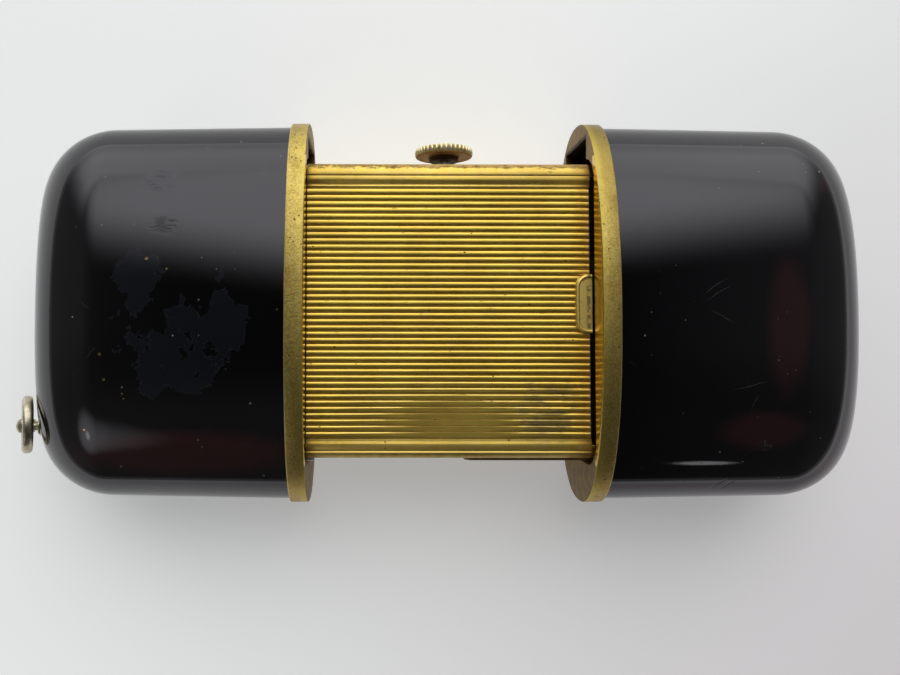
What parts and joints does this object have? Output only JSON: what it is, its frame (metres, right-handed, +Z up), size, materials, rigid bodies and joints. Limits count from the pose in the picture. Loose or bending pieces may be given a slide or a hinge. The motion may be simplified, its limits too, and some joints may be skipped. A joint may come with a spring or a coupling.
{
  "type": "slide-open travel watch",
  "caption": "Slide-open travel watch: lacquered case halves part on slotted arms and uncover a watch unit with a ribbed stand flap, a fluted crown and a chain ring.",
  "frame": {"origin": "on the table under the middle of the whole object, chain ring post included", "axes": "+X towards the case half without the chain ring, +Y towards the winding crown, +Z up from the dial side to the ribbed stand flap"},
  "size_m": [0.072, 0.0328, 0.016],
  "materials": {
    "black_lacquer": "gloss lacquer with hazy patches and fine scratches",
    "case_brass": "satin, pitted and toned olive gold",
    "gilt_brass": "polished gilt, dirty in the grooves",
    "pale_gold": "polished pale gold wire",
    "steel": "polished steel",
    "blued_steel": "blued steel",
    "nickel_plate": "nickel, fine grained",
    "dial_enamel": "matt cream with plain numerals",
    "crystal_glass": "clear flat crystal"
  },
  "bodies": {
    "watch_unit": {"unit_frame": "gilt_brass", "front_bezel": "gilt_brass", "crystal": "crystal_glass", "dial": "dial_enamel", "inner_back": "nickel_plate", "hinge_bracket": "gilt_brass", "hinge_pin": "steel", "cover_screw_1": "steel", "cover_screw_2": "steel", "cover_screw_3": "steel", "cover_screw_4": "steel", "right_stop_pin": "steel", "left_stop_pin": "steel", "crown_tube": "gilt_brass", "click": "steel", "mainplate": "nickel_plate", "barrel_bridge": "nickel_plate", "train_bridge": "nickel_plate", "balance_cock": "nickel_plate", "bridge_screw_1": "blued_steel", "bridge_screw_2": "blued_steel", "train_bridge_screw": "blued_steel", "cock_screw": "blued_steel"},
    "right_half": {"right_shell": "black_lacquer", "right_mouth_band": "case_brass", "right_guide_arm": "case_brass", "right_arm_screw": "steel"},
    "left_half": {"left_shell": "black_lacquer", "left_mouth_band": "case_brass", "left_guide_arm": "case_brass", "left_arm_screw": "steel", "bail_post": "pale_gold"},
    "chain_ring": {"bail_ring": "pale_gold"},
    "flap": {"stand_flap": "gilt_brass"},
    "winding_stem": {"stem": "steel"},
    "winding_crown": {"crown": "gilt_brass"},
    "winding_pinion_body": {"winding_pinion": "steel"},
    "crown_wheel_body": {"crown_wheel": "steel"},
    "ratchet_body": {"ratchet_wheel": "steel"},
    "barrel_body": {"barrel": "gilt_brass"},
    "minute_body": {"centre_wheel": "gilt_brass", "minute_hand": "blued_steel"},
    "hour_body": {"hour_wheel": "gilt_brass", "hour_hand": "blued_steel"},
    "minute_wheel_body": {"minute_wheel": "gilt_brass"},
    "third_body": {"third_wheel": "gilt_brass"},
    "fourth_body": {"fourth_wheel": "gilt_brass"},
    "escape_body": {"escape_wheel": "steel"},
    "pallet_body": {"pallet_fork": "steel"},
    "balance_body": {"balance_wheel": "gilt_brass"}
  },
  "joints": [
    {"name": "right_half_slide", "type": "slide", "parent": "watch_unit", "child": "right_half", "axis": [1, 0, 0], "range_m": [-0.0115, 0]},
    {"name": "left_half_slide", "type": "slide", "parent": "watch_unit", "child": "left_half", "axis": [-1, 0, 0], "range_m": [-0.0115, 0]},
    {"name": "chain_ring_swing", "type": "hinge", "parent": "left_half", "child": "chain_ring", "pos_m": [-0.03517, -0.0101, 0.008], "axis": [0, -1, 0], "range_deg": [0, 205]},
    {"name": "flap_hinge", "type": "hinge", "parent": "watch_unit", "child": "flap", "pos_m": [-0.01025, 0, 0.0123], "axis": [0, -1, 0], "range_deg": [0, 60]},
    {"name": "stem_pull", "type": "slide", "parent": "watch_unit", "child": "winding_stem", "axis": [0, 1, 0], "range_m": [0, 0.0007]},
    {"name": "crown_turn", "type": "hinge", "parent": "winding_stem", "child": "winding_crown", "pos_m": [0.00115, 0.014, 0.008], "axis": [0, 1, 0], "continuous": true},
    {"name": "winding_pinion_turn", "type": "hinge", "parent": "watch_unit", "child": "winding_pinion_body", "pos_m": [0.00115, 0.008, 0.008], "axis": [0, 1, 0], "continuous": true},
    {"name": "crown_wheel_turn", "type": "hinge", "parent": "watch_unit", "child": "crown_wheel_body", "pos_m": [0.00115, 0.0061, 0.0108], "axis": [0, 0, 1], "continuous": true},
    {"name": "ratchet_turn", "type": "hinge", "parent": "watch_unit", "child": "ratchet_body", "pos_m": [-0.00385, 0.003, 0.0108], "axis": [0, 0, 1], "continuous": true},
    {"name": "minute_turn", "type": "hinge", "parent": "watch_unit", "child": "minute_body", "pos_m": [0.00115, 0, 0.008], "axis": [0, 0, 1], "continuous": true},
    {"name": "hour_turn", "type": "hinge", "parent": "watch_unit", "child": "hour_body", "pos_m": [0.00115, 0, 0.006], "axis": [0, 0, 1], "continuous": true},
    {"name": "minute_wheel_turn", "type": "hinge", "parent": "watch_unit", "child": "minute_wheel_body", "pos_m": [0.00425, 0.0015, 0.006], "axis": [0, 0, 1], "continuous": true},
    {"name": "barrel_turn", "type": "hinge", "parent": "watch_unit", "child": "barrel_body", "pos_m": [-0.00385, 0.003, 0.008], "axis": [0, 0, 1], "continuous": true},
    {"name": "third_turn", "type": "hinge", "parent": "watch_unit", "child": "third_body", "pos_m": [0.00493, -0.00137, 0.0085], "axis": [0, 0, 1], "continuous": true},
    {"name": "fourth_turn", "type": "hinge", "parent": "watch_unit", "child": "fourth_body", "pos_m": [0.00235, -0.00378, 0.0085], "axis": [0, 0, 1], "continuous": true},
    {"name": "escape_turn", "type": "hinge", "parent": "watch_unit", "child": "escape_body", "pos_m": [-0.00063, -0.00498, 0.0085], "axis": [0, 0, 1], "continuous": true},
    {"name": "pallet_rock", "type": "hinge", "parent": "watch_unit", "child": "pallet_body", "pos_m": [-0.00348, -0.00588, 0.008], "axis": [0, 0, 1], "range_deg": [-4, 4]},
    {"name": "balance_swing", "type": "hinge", "parent": "watch_unit", "child": "balance_body", "pos_m": [-0.00535, -0.0046, 0.009], "axis": [0, 0, 1], "range_deg": [-135, 135], "stiffness_Nm_per_rad": 0.0000002}
  ],
  "couplings": [
    {"joint": "winding_pinion_turn", "follows": "crown_turn", "ratio": 1},
    {"joint": "crown_wheel_turn", "follows": "crown_turn", "ratio": 0.5},
    {"joint": "ratchet_turn", "follows": "crown_turn", "ratio": -0.33333},
    {"joint": "hour_turn", "follows": "minute_turn", "ratio": 0.083333},
    {"joint": "minute_wheel_turn", "follows": "minute_turn", "ratio": -0.33333},
    {"joint": "barrel_turn", "follows": "minute_turn", "ratio": -0.16667},
    {"joint": "third_turn", "follows": "minute_turn", "ratio": -8},
    {"joint": "escape_turn", "follows": "fourth_turn", "ratio": -7}
  ]
}
